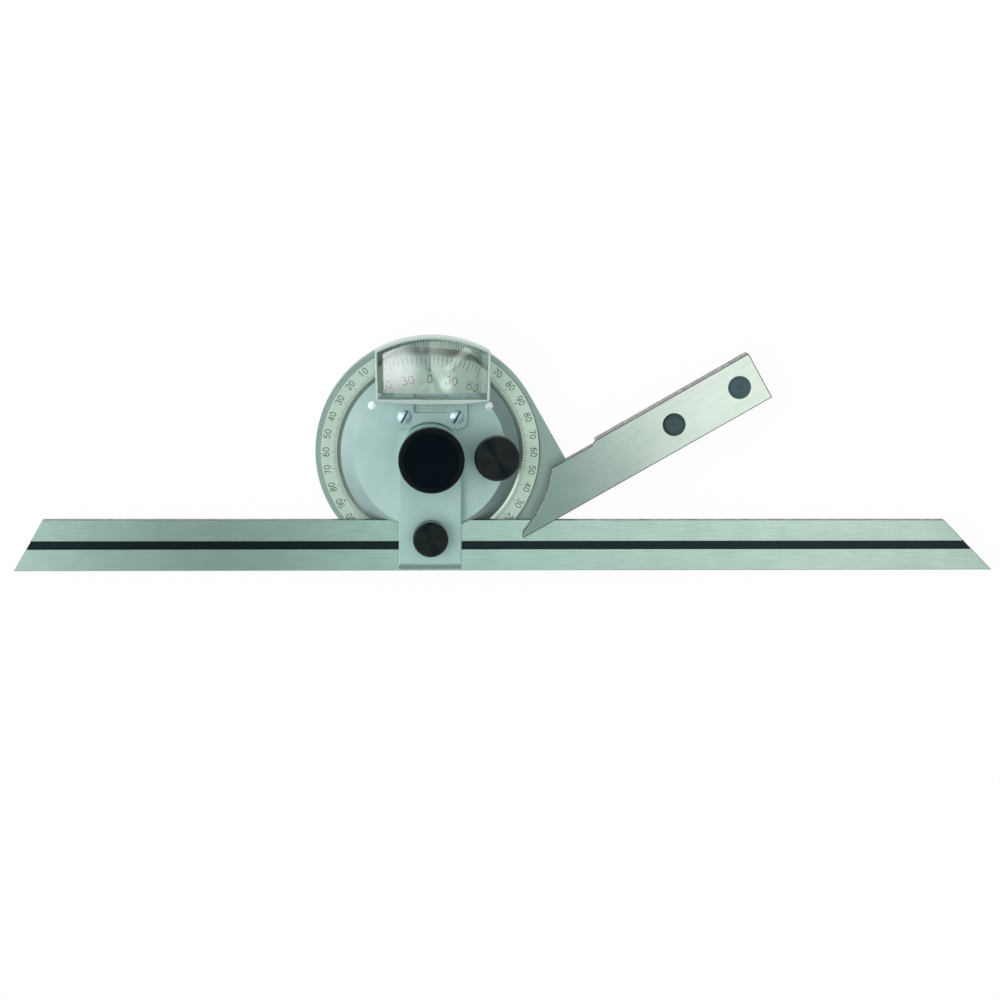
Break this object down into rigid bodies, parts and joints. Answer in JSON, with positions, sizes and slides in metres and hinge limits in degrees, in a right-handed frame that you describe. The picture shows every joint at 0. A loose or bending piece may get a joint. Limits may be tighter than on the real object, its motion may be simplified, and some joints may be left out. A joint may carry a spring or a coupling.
{
  "type": "bevel protractor",
  "caption": "Universal bevel protractor: graduated dial with magnified vernier and fine feed, a flat stock, and a long grooved blade that slides and swings.",
  "frame": {"origin": "on the turret's pivot axis, in the plane of the back face", "axes": "+X along the blade towards its 45 degree end, +Y from the blade towards the magnifier, +Z out of the dial's face towards the reader"},
  "size_m": [0.3, 0.072, 0.027],
  "materials": {
    "ground_steel": "ground and satin tool steel, light grey",
    "stock_steel": "ground tool steel, light grey",
    "blade_steel": "ground tool steel, long grain",
    "scale_chrome": "satin chrome, engraved black",
    "satin_chrome": "satin chrome",
    "bright_chrome": "bright chrome",
    "screw_steel": "bright plated steel",
    "pin_steel": "hardened ground steel",
    "bush_brass": "turned",
    "washer_steel": "spring steel",
    "knob_black": "black anodised, finely turned",
    "cap_black": "gloss black, bare",
    "plug_black": "dark moulded",
    "lens_glass": "clear, polished"
  },
  "bodies": {
    "base": {"body_frame": "ground_steel", "main_scale_ring": "scale_chrome", "internal_gear": "pin_steel", "scale_ring_screws": "screw_steel", "centre_stud": "pin_steel", "stud_flange_screws": "screw_steel", "stock_bar": "stock_steel", "stock_screws": "screw_steel", "stock_plugs": "plug_black", "stock_dowels": "pin_steel"},
    "turret": {"turret_disc": "satin_chrome", "turret_bush": "bush_brass", "arm": "satin_chrome", "arm_screws": "screw_steel", "vernier_plate": "scale_chrome", "magnifier_bracket": "satin_chrome", "bracket_screws": "screw_steel", "magnifier_frame": "bright_chrome", "magnifier_lens": "lens_glass", "turret_face_screws": "screw_steel", "feed_bush": "bush_brass"},
    "feed": {"feed_pinion": "pin_steel", "feed_knob": "knob_black", "feed_knob_screw": "screw_steel", "feed_washer": "washer_steel"},
    "blade": {"blade": "blade_steel"},
    "blade_lock": {"eccentric_stud": "pin_steel", "blade_lock_knob": "knob_black", "lock_knob_screw": "screw_steel", "lock_washer": "washer_steel"},
    "clamp": {"clamp_knob": "knob_black", "clamp_knob_cap": "cap_black", "clamp_washer": "washer_steel", "wave_washer": "washer_steel"}
  },
  "joints": [
    {"name": "turret_swing", "type": "hinge", "parent": "base", "child": "turret", "pos_m": [0, 0, 0], "axis": [0, 0, 1], "range_deg": [-170, 10]},
    {"name": "feed_spin", "type": "hinge", "parent": "turret", "child": "feed", "pos_m": [0.0195, 0, 0], "axis": [0, 0, 1], "range_deg": [-60, 960]},
    {"name": "blade_slide", "type": "slide", "parent": "turret", "child": "blade", "axis": [1, 0, 0], "range_m": [-0.14, 0.095]},
    {"name": "blade_lock_turn", "type": "hinge", "parent": "turret", "child": "blade_lock", "pos_m": [0, -0.0251, 0], "axis": [0, 0, 1], "range_deg": [0, 22]},
    {"name": "clamp_knob_turn", "type": "hinge", "parent": "base", "child": "clamp", "pos_m": [0, 0, 0], "axis": [0, 0, 1], "range_deg": [0, 180]}
  ],
  "couplings": [
    {"joint": "feed_spin", "follows": "turret_swing", "ratio": -5.3333}
  ]
}
